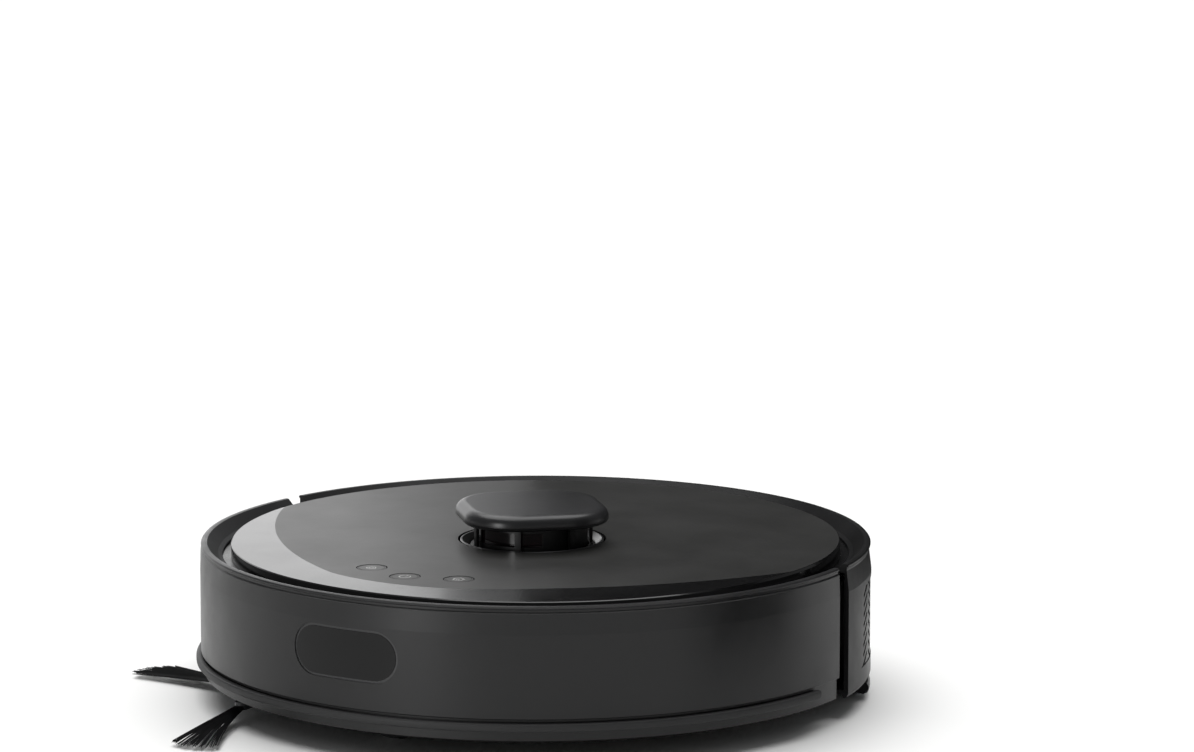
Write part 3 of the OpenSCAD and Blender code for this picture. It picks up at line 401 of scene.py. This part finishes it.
def creaseRadius(angle):
    # how far out the matt field runs, for an angle counted from the front in degrees
    a = abs(angle)
    way = Vector((math.sin(math.radians(a)), -math.cos(math.radians(a))))
    sideX, sideY, sideR = cover["sideArc"]

    def reach(centre, radius):
        along = centre.dot(way)
        return along + math.sqrt(max(along * along - centre.length_squared + radius * radius, 0))
    far = reach(Vector((-sideX, sideY)), sideR)
    nose = reach(Vector((0, cover["noseArc"][0])), cover["noseArc"][1])
    flat = cover["shoulder"] / way.y if way.y < -0.01 else 999
    return min(far, max(nose, flat), cover["radius"] - cover["leastCrescent"])


def turretCentre():
    low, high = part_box("lidar_ring")
    return (low[0] + high[0]) / 2, (low[1] + high[1]) / 2


deselectAll()
bpy.ops.mesh.primitive_circle_add(vertices=288, radius=cover["radius"] * mm, fill_type="NGON",
                                  location=(0, 0, (cover["matt"] - cover["edgeDrop"]) * mm))
topCover = bpy.context.object
placeDown(topCover, "coverShell")
editAll(topCover, "FACE")
bpy.ops.mesh.inset(thickness=cover["rimBand"] * mm, depth=0)
bpy.ops.mesh.inset(thickness=cover["slopeBand"] * mm, depth=0)
bpy.ops.object.mode_set(mode="OBJECT")
for point in topCover.data.vertices:
    out = math.hypot(point.co.x, point.co.y) / mm
    angle = math.degrees(math.atan2(point.co.x, -point.co.y))
    crease = creaseRadius(angle)
    if out < cover["radius"] - ringTest["slope"]:
        point.co.x *= crease / out
        point.co.y *= crease / out
        point.co.z = cover["matt"] * mm
    elif out < cover["radius"] - ringTest["rim"]:
        slack = (cover["radius"] - cover["rimBand"] - crease) / cover["fullSlope"]
        point.co.z = (cover["matt"] - min(1, max(slack, cover["leastSlope"])) * (
            cover["edgeDrop"] - cover["rimRise"])) * mm
# the outer edge is drawn down into the moat as the skirt
pickEdges(topCover, lambda a, b: min(math.hypot(a.x, a.y), math.hypot(b.x, b.y))
          > (cover["radius"] - ringTest["rim"]) * mm)
bpy.ops.mesh.extrude_region_move(TRANSFORM_OT_translate={
    "value": (0, 0, (cover["skirt"] - cover["matt"] + cover["edgeDrop"]) * mm)})
bpy.ops.object.mode_set(mode="OBJECT")
facesOutward(topCover)
if max(topCover.data.polygons, key=lambda face: face.area).normal.z < 0:
    # an open shell may come out with its faces inward
    editAll(topCover, "FACE")
    bpy.ops.mesh.flip_normals()
    bpy.ops.object.mode_set(mode="OBJECT")


def onCrease(a, b):
    out = max(math.hypot(a.x, a.y), math.hypot(b.x, b.y)) / mm
    return (min(a.z, b.z) > (cover["matt"] - 0.01) * mm
            and ringTest["creaseFrom"] < out < cover["radius"] - ringTest["crease"])


bevelEdges(topCover, onCrease, cover["crease"], 2, clamp_overlap=True)
addModifier(topCover, "SOLIDIFY", thickness=cover["wall"] * mm, offset=-1)
holes = [roundBar(cover["turretHole"] * mm, cover["cutter"] * mm, (*turretCentre(), cover["matt"] * mm), 128)]
buttonNames = ["button_spot", "button_power", "button_dock"]
buttonCentres = {}
for name in buttonNames:
    low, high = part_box(name)
    buttonCentres[name] = ((low[0] + high[0]) / 2, (low[1] + high[1]) / 2)
    holes.append(roundBar(cover["buttonHole"] * mm, cover["cutter"] * mm,
                          (*buttonCentres[name], cover["matt"] * mm), 64))
cutWith(topCover, holes)
finishPiece(topCover, "body", "cover_matt", [blastedCoverAbs, pianoBlackAbs], "top_cover")
for face in topCover.data.polygons:
    out = math.hypot(face.center.x, face.center.y) / mm
    onField = face.normal.z > 0.9995 and face.center.z > (cover["matt"] - 0.02) * mm
    inHole = out < ringTest["turretWall"] and face.normal.z < 0.9
    face.material_index = 0 if onField or inHole else 1
smoothBy(topCover, 20)
print("cover made")

# turret cap: a square plate with wide round corners, turned by half a right angle
cap = {"half": 37.0, "corner": 27.0, "topRound": 6.0, "lowRound": 2.4, "turn": 45.0}
low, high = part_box("lidar_cap")
deselectAll()
bpy.ops.mesh.primitive_cube_add(size=1, location=(*turretCentre(), (low[2] + high[2]) / 2))
turretCap = bpy.context.object
turretCap.scale = (2 * cap["half"] * mm, 2 * cap["half"] * mm, high[2] - low[2])
bpy.ops.object.transform_apply(location=False, rotation=False, scale=True)
bevelEdges(turretCap, lambda a, b: abs(a.z - b.z) > 0.001, cap["corner"], 24)
# the plate is centred on its own origin, so its top edges are above 0 and its lower ones below
bevelEdges(turretCap, lambda a, b: min(a.z, b.z) > 0.0005, cap["topRound"], 10, profile=0.56)
bevelEdges(turretCap, lambda a, b: max(a.z, b.z) < -0.0039, cap["lowRound"], 6)
turretCap.rotation_euler.z = math.radians(cap["turn"])
placeDown(turretCap, "capPlate")
smoothBy(turretCap, 40)
finishPiece(turretCap, "body", "cover_matt", capAbs, "lidar_cap")

# rubbing strip round the bumper, its two ends rounded off
strip = {"half": 88.5, "low": 18.2, "high": 22.4, "inner": 168.6, "outer": 172.4, "steps": 260,
         "endSteps": 10, "sides": 28, "leastEnd": 0.0004, "endPull": 1.2, "flatFace": 0.5, "flatTop": 0.55}


def stripPoint(u, v):
    middle, tall = (strip["low"] + strip["high"]) / 2, (strip["high"] - strip["low"]) / 2
    endTurn = math.degrees(tall / strip["outer"])
    column = u * strip["steps"]
    ends = strip["endSteps"]
    fromEnd = min(column, strip["steps"] - column)
    if fromEnd < ends:
        t = 1 - math.cos(fromEnd / ends * math.pi / 2)
        angle = math.copysign(strip["half"] - endTurn * t, column - strip["steps"] / 2)
        squeeze = math.sqrt(max(1 - (1 - t) ** 2, strip["leastEnd"]))
    else:
        angle = -strip["half"] + endTurn + (2 * strip["half"] - 2 * endTurn) * (column - ends) / (
            strip["steps"] - 2 * ends)
        squeeze = 1
    # round the section: a superellipse, flat on its outer face
    turn = v * 2 * math.pi
    across = math.copysign(abs(math.cos(turn)) ** strip["flatFace"], math.cos(turn))
    rise = math.copysign(abs(math.sin(turn)) ** strip["flatTop"], math.sin(turn))
    radius = (strip["inner"] + strip["outer"]) / 2 + across * (strip["outer"] - strip["inner"]) / 2
    radius -= (1 - squeeze) * (strip["endPull"] if across > 0 else 0)
    a = math.radians(angle)
    return Vector((radius * math.sin(a), -radius * math.cos(a), middle + rise * tall * squeeze)) * mm


rubStrip = sheetOf("rubStrip", strip["steps"], strip["sides"], stripPoint)
facesOutward(rubStrip)
placeDown(rubStrip, "rubStrip")
smoothBy(rubStrip, 50)
finishPiece(rubStrip, "bumper", "strip", stripTpu, "bumper_strip")
print("cap and strip made")

# bumper springs, which on the robot shorten as the bumper comes in; here they are rigid coils fixed to the
# body
spring = {"angle": 40.0, "foot": 161.6, "head": 167.3, "coil": 2.6, "wire": 0.7, "turns": 3.5,
          "stepsPerTurn": 20}
springHeight = (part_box("bumper_springs")[0][2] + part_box("bumper_springs")[1][2]) / 2


def makeSpring(name, turn, *nodes):
    count = int(spring["turns"] * spring["stepsPerTurn"])
    out = Vector((math.sin(turn), -math.cos(turn), 0))
    side = Vector((math.cos(turn), math.sin(turn), 0))
    foot, head = spring["foot"] + spring["wire"] / 2, spring["head"] - spring["wire"] / 2
    places = []
    for i in range(count + 1):
        a = i / spring["stepsPerTurn"] * 2 * math.pi
        at = (out * (foot + (head - foot) * i / count) + side * spring["coil"] * math.cos(a)
              + Vector((0, 0, spring["coil"] * math.sin(a))))
        places.append((at.x * mm, at.y * mm, at.z * mm + springHeight))
    coil = tubeAlong(name, places, spring["wire"] * mm / 2)
    placeDown(coil, name)
    smoothBy(coil, 60)
    finishPiece(coil, "body", "steel", springSteel, *nodes)
    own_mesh(coil)


makeSpring("springLeft", math.radians(spring["angle"]), "bumper_springs")
makeSpring("springRight", -math.radians(spring["angle"]), "bumper_springs")

# button marks, pad printed: a spiral for spot cleaning, a power mark and a house
mark = {"line": 0.42, "size": 3.1, "thick": 0.05, "lift": 0.012}


def markPiece(name, button, body, strokes):
    lines = [tubeAlong(name, [(x * mark["size"] * mm, y * mark["size"] * mm, 0) for x, y in stroke],
                       mark["line"] * mm / 2, closed=stroke[0] == stroke[-1]) for stroke in strokes]
    piece = lines[0]
    joinTo(piece, lines[1:])
    x, y = buttonCentres[button]
    piece.scale = (1, 1, mark["thick"] / mark["line"])
    piece.location = (x, y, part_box(button)[1][2] + mark["lift"] * mm)
    piece.rotation_euler.z = math.atan2(y, x) + math.pi / 2
    placeDown(piece, name)
    finishPiece(piece, body, "cover_matt", padInk)


spiral = []
for i in range(41):
    out, turn = 0.16 + 0.84 * i / 40, i / 40 * 4 * math.pi
    spiral.append((out * math.cos(turn), out * math.sin(turn)))
powerArc = [(0.9 * math.sin(math.radians(a)), 0.9 * math.cos(math.radians(a))) for a in range(35, 326, 10)]
markPiece("spotMark", "button_spot", "spot_button", [spiral])
markPiece("powerMark", "button_power", "power_button", [powerArc, [(0, 1.0), (0, 0.15)]])
markPiece("homeMark", "button_dock", "dock_button", [
    [(-1, 0.1), (0, 1), (1, 0.1)], [(-0.72, 0.25), (-0.72, -0.85), (0.72, -0.85), (0.72, 0.25)],
    [(-0.22, -0.85), (-0.22, -0.3), (0.22, -0.3), (0.22, -0.85)]])
print("button marks made")

# tyres with chevron lugs
tyre = {"outer": 33.0, "inner": 24.02, "lug": 1.5, "count": 26, "chevron": 0.748, "lugShare": 0.42,
        "lugEdge": 0.05, "crown": 0.3, "shoulderFrom": 0.8, "shoulderDrop": 2.6, "around": 520,
        "treadSteps": 28, "boreSteps": 8}


def makeTyre(name, side, node):
    low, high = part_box(node)
    centre = (low[0] + high[0]) / 2 / mm
    half = (high[0] - low[0]) / 2 / mm
    axle = (low[2] + high[2]) / 2 / mm
    tread, bore = tyre["treadSteps"], tyre["boreSteps"]

    def tyrePoint(u, v):
        turn = u * 2 * math.pi
        w = v * (tread + bore)
        if w <= tread:
            t = w / tread * 2 - 1
            x = half * t
            shoulder = max(0, (abs(t) - tyre["shoulderFrom"]) / (1 - tyre["shoulderFrom"]))
            radius = tyre["outer"] - tyre["crown"] * t * t - tyre["shoulderDrop"] * shoulder ** 2
            phase = (turn / (2 * math.pi) * tyre["count"] + tyre["chevron"] * abs(t)) % 1
            edge = min(phase, tyre["lugShare"] - phase)
            radius -= tyre["lug"] * min(1, max(0, edge / tyre["lugEdge"]))
        else:
            x = half * (1 - 2 * (w - tread) / bore)
            radius = tyre["inner"]
        return Vector((centre + x, radius * math.sin(turn), axle + radius * math.cos(turn))) * mm
    piece = sheetOf(name, tyre["around"], tread + bore, tyrePoint)
    facesOutward(piece)
    placeDown(piece, name)
    smoothBy(piece, 32)
    finishPiece(piece, "wheel_" + side, "rubber", tyreRubber, node)


makeTyre("tyreLeft", "left", "drive_tyre_left")
makeTyre("tyreRight", "right", "drive_tyre_right")
print("tyres made")

# main brush: a core, three rubber blades and three bristle rows, wound as a shallow chevron
roller = {"core": 11.0, "outer": 18.4, "blade": 1.5, "twist": 46.0, "notch": 4.4, "bladeEnd": 2.0,
          "bladeRoot": 0.8, "rootWide": 1.25, "tipThin": 0.5, "endRound": 1.2, "hub": 9.8, "socket": 4.1,
          "tufts": 44, "tuftEnd": 4.0, "ribClear": 3.2, "hairs": 5, "hair": 0.34,
          "hairRoot": 0.3, "hairShort": 0.4, "seed": 7}
low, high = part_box("main_brush")
rollerY, rollerZ = (low[1] + high[1]) / 2 / mm, (low[2] + high[2]) / 2 / mm
rollerX0, rollerX1 = low[0] / mm, high[0] / mm
ribPlaces = [-52, -24, 4, 32]


def bladeTurn(x):
    middle = (rollerX0 + rollerX1) / 2
    return math.radians(roller["twist"]) * abs(x - middle) / ((rollerX1 - rollerX0) / 2)


def around(x, radius, turn, side=0.0):
    # a point on the roller; side is a step across the blade, in millimetres
    return Vector((x, rollerY + radius * math.sin(turn) + side * math.cos(turn),
                   rollerZ + radius * math.cos(turn) - side * math.sin(turn))) * mm


def bladeTop(x):
    near = min(abs(x - rib) for rib in ribPlaces)
    return roller["core"] - 0.1 if near < roller["notch"] / 2 else roller["outer"]


def makeBlade(index):
    start = index * 2 * math.pi / 3

    def bladePoint(u, v):
        x = rollerX0 + roller["bladeEnd"] + u * (rollerX1 - rollerX0 - 2 * roller["bladeEnd"])
        turn = start + bladeTurn(x)
        ring = v * 10
        top = bladeTop(x)
        if ring <= 4:
            t, side = ring / 4, -1
        elif ring >= 6:
            t, side = (10 - ring) / 4, 1
        else:
            t, side = 1, ring - 5
        root = roller["core"] - roller["bladeRoot"]
        width = roller["blade"] / 2 * (roller["rootWide"] - roller["tipThin"] * t)
        return around(x, root + (top - root) * t, turn, side * width)
    return sheetOf("blade", 268, 10, bladePoint)


def corePoint(u, v):
    x = rollerX0 + v * (rollerX1 - rollerX0)
    radius = roller["core"] if 0.02 < v < 0.98 else roller["core"] - roller["endRound"]
    return around(x, radius, u * 2 * math.pi)


brushCore = sheetOf("core", 96, 40, corePoint)
for blade in range(3):
    joinTo(brushCore, [makeBlade(blade)])
# the ends: a hub with the socket that the spindle enters, 10 mm deep
for x, way in ((rollerX0, 1), (rollerX1, -1)):
    joinTo(brushCore, [sheetOf("end", 96, 6, lambda u, v: around(
        x + way * (0 if v < 0.6 else (v - 0.5) * 20),
        roller["hub"] - (roller["hub"] - roller["socket"]) * min(v / 0.5, 1), u * 2 * math.pi))])
facesOutward(brushCore)
placeDown(brushCore, "brushBlades")
smoothBy(brushCore, 30)
finishPiece(brushCore, "roller", "brush_rubber", bladeRubber, "main_brush")

chance = random.Random(roller["seed"])


def hairAt(points, radius):
    # one bristle, a thin three-sided tube through its points
    sides = 3
    ring = []
    for i, p in enumerate(points):
        ahead = (points[min(i + 1, len(points) - 1)] - points[max(i - 1, 0)]).normalized()
        across = ahead.orthogonal().normalized()
        up = ahead.cross(across)
        thin = radius * (1 - 0.35 * i / (len(points) - 1))
        for s in range(sides):
            a = 2 * math.pi * s / sides
            ring.append(p + (across * math.cos(a) + up * math.sin(a)) * thin)
    faces = []
    for i in range(len(points) - 1):
        for s in range(sides):
            n = (s + 1) % sides
            faces.append((i * sides + s, i * sides + n, (i + 1) * sides + n, (i + 1) * sides + s))
    faces.append(tuple(range(sides - 1, -1, -1)))
    faces.append(tuple((len(points) - 1) * sides + s for s in range(sides)))
    return ring, faces


def hairPiece(name, hairs):
    verts, faces = [], []
    for ring, skin in hairs:
        base = len(verts)
        verts += ring
        faces += [tuple(base + i for i in face) for face in skin]
    data = bpy.data.meshes.new(name)
    data.from_pydata([tuple(v) for v in verts], [], faces)
    data.update()
    piece = bpy.data.objects.new(name, data)
    bpy.context.collection.objects.link(piece)
    return piece


hairs = []
for row in range(3):
    start = (row + 0.5) * 2 * math.pi / 3
    for tuft in range(roller["tufts"]):
        x = rollerX0 + roller["tuftEnd"] + (rollerX1 - rollerX0 - 2 * roller["tuftEnd"]) * tuft / (
            roller["tufts"] - 1)
        if min(abs(x - rib) for rib in ribPlaces) < roller["ribClear"]:
            continue
        for hair in range(roller["hairs"]):
            dx, ds = chance.uniform(-1, 1), chance.uniform(-1, 1)
            turn = start + bladeTurn(x)
            points = []
            for t in (0, 0.5, 1):
                out = roller["core"] - roller["hairRoot"] + (
                    roller["outer"] - roller["hairShort"] - roller["core"]) * t
                points.append(around(x + dx * (0.7 + 0.5 * t), out, turn, ds * (0.7 + 0.7 * t)))
            hairs.append(hairAt(points, roller["hair"] * mm / 2))
brushRows = hairPiece("brushRows", hairs)
finishPiece(brushRows, "roller", "bristle", nylonBristle)
print("main brush made")

# side brush: three fans of nylon hair that droop to the floor
fan = {"hairs": 110, "start": 24.0, "reach": 101.6, "spread": 14.2, "root": 1.9, "sweep": 6.0, "hair": 0.52,
       "drop": 4.8, "height": 7.2, "arms": (160, 280, 40), "bendFrom": 28.0, "bendTo": 102.0, "lowest": 0.6,
       "seed": 11, "steps": 8}
hub = [(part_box("side_gearbox")[0][i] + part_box("side_gearbox")[1][i]) / 2 / mm for i in (0, 1)]
chance = random.Random(fan["seed"])
hairs = []
for arm in fan["arms"]:
    way = math.radians(arm)
    for hair in range(fan["hairs"]):
        side = (hair + 0.5) / fan["hairs"] * 2 - 1
        side += chance.uniform(-0.05, 0.05)
        layer = chance.uniform(-1, 1)
        length = fan["reach"] - chance.uniform(0, 3.0) - 5 * side * side
        points = []
        for step in range(fan["steps"] + 1):
            t = step / fan["steps"]
            out = fan["start"] + (length - fan["start"]) * t
            bend = fan["bendTo"] - fan["bendFrom"]
            t2 = max(0, (out - fan["bendFrom"]) / bend)
            across = side * (fan["root"] + (fan["spread"] - fan["root"]) * t2 ** 1.3)
            across += bend * math.tan(math.radians(fan["sweep"])) * t2 * t2
            rise = fan["height"] - fan["drop"] * t2 ** 0.7 + layer * (0.9 - 0.2 * t2)
            points.append(Vector((hub[0] + out * math.cos(way) - across * math.sin(way),
                                  hub[1] + out * math.sin(way) + across * math.cos(way),
                                  max(rise, fan["lowest"]))) * mm)
        hairs.append(hairAt(points, fan["hair"] * mm / 2))
sideHair = hairPiece("sideHair", hairs)
finishPiece(sideHair, "sweeper", "bristle", nylonBristle, "side_bristles")
print("side brush made")

# mop pad: a padded segment of a circle, its pile pressed flat by the floor
pad = {"low": 0.4, "high": 3.0, "inset": 0.4, "skin": 0.02, "edge": 1.1, "voxel": 1.6, "lump": 0.22,
       "lumpWide": 9.0}
padFront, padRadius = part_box("mop_pad")[0][1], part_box("mop_pad")[1][1]
deselectAll()
bpy.ops.mesh.primitive_circle_add(vertices=256, radius=padRadius - pad["inset"] * mm, fill_type="NGON",
                                  location=(0, 0, (pad["low"] + pad["skin"]) * mm))
mopPad = bpy.context.object
placeDown(mopPad, "mopPad")
editAll(mopPad, "VERT")
bpy.ops.mesh.bisect(plane_co=(0, padFront + pad["inset"] * mm, 0), plane_no=(0, 1, 0), clear_inner=True)
bpy.ops.mesh.select_mode(type="FACE")
bpy.ops.mesh.select_all(action="SELECT")
bpy.ops.mesh.extrude_region_move(TRANSFORM_OT_translate={
    "value": (0, 0, (pad["high"] - pad["low"] - 2 * pad["skin"]) * mm)})
bpy.ops.object.mode_set(mode="OBJECT")
facesOutward(mopPad)
addModifier(mopPad, "BEVEL", width=pad["edge"] * mm, segments=4, limit_method="ANGLE", angle_limit=1.0)
addModifier(mopPad, "REMESH", mode="VOXEL", voxel_size=pad["voxel"] * mm)
cloud = bpy.data.textures.new("padLumps", "CLOUDS")
cloud.noise_scale = pad["lumpWide"] * mm
addModifier(mopPad, "DISPLACE", texture=cloud, strength=-pad["lump"] * mm, mid_level=0.0,
            texture_coords="LOCAL")
smoothBy(mopPad, 60)
finishPiece(mopPad, "drawer", "mop_cloth", microfibreCloth, "mop_pad")
print("mop pad made")

# floor, light and camera
studio = {"sky": "f6f7f8", "skyLight": 0.20, "floor": "f6f6f5", "overhead": 3.2}
deselectAll()
bpy.ops.mesh.primitive_plane_add(size=60, location=(0, 0, 0))
floor = bpy.context.object
floor.name = "studioFloor"
floorPaint = startMaterial("FloorPaint", Roughness=0.75, Base_Color=colour(studio["floor"]))[0]
floor.data.materials.append(floorPaint)

bpy.context.scene.view_settings.view_transform = "Standard"
world = bpy.data.worlds.new("studioSky")
bpy.context.scene.world = world
world.use_nodes = True
world.node_tree.nodes["Background"].inputs["Color"].default_value = colour(studio["sky"])
world.node_tree.nodes["Background"].inputs["Strength"].default_value = studio["skyLight"]

# the camera stands off from a point level with the rim, and aims a little past that point
shot = {"angle": math.radians(33.4), "rise": math.radians(11.35), "far": 2.9736, "sensor": 36,
        "lens": 176.8, "aside": 31.15, "above": 81.7}
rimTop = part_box("front_bumper")[1][2]
flat = Vector((math.sin(shot["angle"]), -math.cos(shot["angle"]), 0)) * math.cos(shot["rise"])
back = flat + Vector((0, 0, math.sin(shot["rise"])))
right = Vector((math.cos(shot["angle"]), math.sin(shot["angle"]), 0))
up = back.cross(right)
target = Vector((0, 0, rimTop))
cameraData = bpy.data.cameras.new("shot")
camera = bpy.data.objects.new("shot", cameraData)
bpy.context.collection.objects.link(camera)
cameraData.sensor_width = shot["sensor"]
cameraData.lens = shot["lens"]
camera.location = target + back * shot["far"]
aim = target + right * shot["aside"] * mm + up * shot["above"] * mm
camera.rotation_euler = (aim - camera.location).to_track_quat("-Z", "Y").to_euler()
cameraData.clip_start, cameraData.clip_end = 0.05, 100
bpy.context.scene.camera = camera


def softLight(name, angle, rise, far, width, height, power):
    # angle counts as the camera's does: 0 in front of the robot, 90 on its left
    a, e = math.radians(angle), math.radians(rise)
    data = bpy.data.lights.new(name, "AREA")
    data.shape, data.size, data.size_y, data.energy = "RECTANGLE", width, height, power
    lamp = bpy.data.objects.new(name, data)
    bpy.context.collection.objects.link(lamp)
    lamp.location = Vector((math.sin(a) * math.cos(e), -math.cos(a) * math.cos(e), math.sin(e))) * far
    lamp.rotation_euler = (-lamp.location).to_track_quat("-Z", "Y").to_euler()
    lamp.visible_camera = False
    lamp.visible_diffuse = False


softLight("leftBox", angle=-124, rise=15, far=1.9, width=1.3, height=0.95, power=5.4)
softLight("frontBox", angle=-6, rise=6, far=1.5, width=0.30, height=0.9, power=9.0)
overhead = bpy.data.objects.new("overhead", bpy.data.lights.new("overhead", "SUN"))
overhead.data.energy, overhead.data.angle = studio["overhead"], math.radians(70)
bpy.context.collection.objects.link(overhead)
overhead.rotation_euler = (math.radians(-12), math.radians(-10), 0)

# black flags close behind and by the left wheel, seen only by the glossy surfaces
flags = {"behindFlag": {"wide": 0.54, "tall": 0.60, "angle": 33.4, "far": -0.25, "aside": 0.262},
         "sideFlag": {"wide": 0.20, "tall": 0.30, "angle": 92.0, "far": 0.33, "aside": 0.0}}
flagCloth = startMaterial("FlagCloth", Roughness=1.0, Base_Color=colour("101010"))[0]
for name, flag in flags.items():
    deselectAll()
    bpy.ops.mesh.primitive_plane_add(size=1)
    board = bpy.context.object
    board.name = name
    turn = math.radians(flag["angle"])
    board.scale = (flag["wide"], flag["tall"], 1)
    board.rotation_euler = (math.radians(90), 0, turn)
    # a hair above the floor
    board.location = (math.cos(turn) * flag["aside"] + math.sin(turn) * flag["far"],
                      math.sin(turn) * flag["aside"] - math.cos(turn) * flag["far"],
                      flag["tall"] / 2 + 2 * mm)
    board.data.materials.append(flagCloth)
    for sight in ("camera", "diffuse", "shadow", "transmission"):
        setattr(board, "visible_" + sight, False)
print("studio set")
